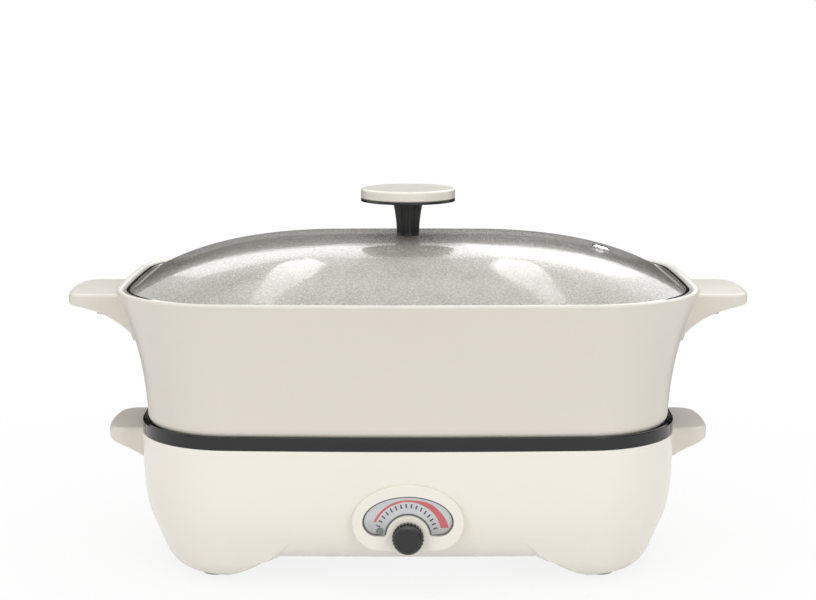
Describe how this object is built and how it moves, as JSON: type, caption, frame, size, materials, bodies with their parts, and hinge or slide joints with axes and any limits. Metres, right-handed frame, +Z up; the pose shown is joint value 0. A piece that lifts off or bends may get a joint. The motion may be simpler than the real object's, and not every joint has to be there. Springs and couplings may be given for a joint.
{
  "type": "electric hot pot",
  "caption": "Electric hot pot: heated base with a turning dial, a lift-off flared pot with side handles, and a domed glass lid with a round knob.",
  "frame": {"origin": "on the table, under the middle of the base", "axes": "+X along the long side, to the right as seen from the dial side; +Z up; the dial faces -Y"},
  "size_m": [0.4672, 0.253, 0.2546],
  "materials": {
    "cream_plastic": "warm cream ABS moulding, satin gloss",
    "cream_enamel": "warm cream non-stick coating on cast aluminium, satin",
    "pot_handle_plastic": "cream heat-proof plastic, satin",
    "leg_cream": "cream coated studs",
    "black_gloss": "glossy black moulding",
    "black_matte": "matt black moulding",
    "black_knob": "satin black moulding",
    "cap_plastic": "cream cap, satin gloss",
    "zinc_plate": "zinc plated sheet",
    "screw_steel": "plated steel",
    "black_screw": "blackened steel screw",
    "element_steel": "dark sheathed heating tube",
    "pin_steel": "nickel plated pin",
    "contact_nickel": "nickel plated spring strip",
    "plate_cream": "cream coating on a cast aluminium plate",
    "ceramic_white": "white ceramic",
    "dial_silver": "satin silver plate",
    "clear_lens": "clear acrylic cover",
    "lamp_lens": "grey-green lamp lens",
    "lid_glass": "fine-grained tempered glass",
    "rim_steel": "polished stainless steel",
    "silicone": "grey silicone",
    "foot_rubber": "soft warm grey rubber",
    "wire_brown": "brown insulated wire",
    "wire_blue": "blue insulated wire",
    "wire_green": "green-yellow insulated wire"
  },
  "bodies": {
    "base": {"base_housing": "cream_plastic", "bottom_plate": "zinc_plate", "upper_tray": "black_gloss", "connector_block": "black_gloss", "socket_plate_left": "black_gloss", "socket_plate_right": "black_gloss", "power_inlet": "black_matte", "inlet_pins": "screw_steel", "contact_live": "contact_nickel", "contact_neutral": "contact_nickel", "contact_earth": "contact_nickel", "thermostat_body": "black_matte", "thermostat_bracket": "zinc_plate", "thermal_fuse": "ceramic_white", "dial_bezel": "cream_plastic", "dial_plate": "dial_silver", "dial_lens": "clear_lens", "pilot_lamp": "lamp_lens", "base_handle_left": "pot_handle_plastic", "base_handle_right": "pot_handle_plastic", "base_handle_screws": "screw_steel", "tray_screws": "black_screw", "connector_screws": "black_screw", "bottom_plate_screws": "screw_steel", "wire_live_in": "wire_brown", "wire_live_fused": "wire_brown", "wire_live_switched": "wire_brown", "wire_neutral": "wire_blue", "wire_earth": "wire_green", "tray_post_front_left": "black_gloss", "tray_post_front_right": "black_gloss", "tray_post_rear_left": "black_gloss", "tray_post_rear_right": "black_gloss", "rubber_foot_front_left": "foot_rubber", "rubber_foot_front_right": "foot_rubber", "rubber_foot_rear_left": "foot_rubber", "rubber_foot_rear_right": "foot_rubber"},
    "dial": {"dial_knob": "black_knob", "thermostat_shaft": "screw_steel"},
    "pot": {"pot_body": "cream_enamel", "pot_handle_left": "pot_handle_plastic", "pot_handle_right": "pot_handle_plastic", "pot_handle_screws": "screw_steel", "heating_plate": "plate_cream", "heating_element": "element_steel", "heater_screws": "screw_steel", "pin_insulators": "ceramic_white", "pot_legs": "leg_cream", "pot_pin_live": "pin_steel", "pot_pin_neutral": "pin_steel", "pot_pin_earth": "pin_steel"},
    "lid": {"lid_glass": "lid_glass", "lid_rim": "rim_steel", "lid_steam_vent": "rim_steel", "lid_knob_stem": "black_knob", "lid_knob_disc": "black_knob", "lid_knob_cap": "cap_plastic", "lid_knob_seal": "silicone", "lid_knob_washer": "screw_steel", "lid_knob_screw": "screw_steel"}
  },
  "joints": [
    {"name": "pot_lift", "type": "slide", "parent": "base", "child": "pot", "axis": [0, 0, 1], "range_m": [0, 0.07265]},
    {"name": "lid_lift", "type": "slide", "parent": "pot", "child": "lid", "axis": [0, 0, 1], "range_m": [0, 0.0432]},
    {"name": "dial_turn", "type": "hinge", "parent": "base", "child": "dial", "pos_m": [0, -0.115, 0.0388], "axis": [0, 1, 0], "range_deg": [0, 140]}
  ]
}
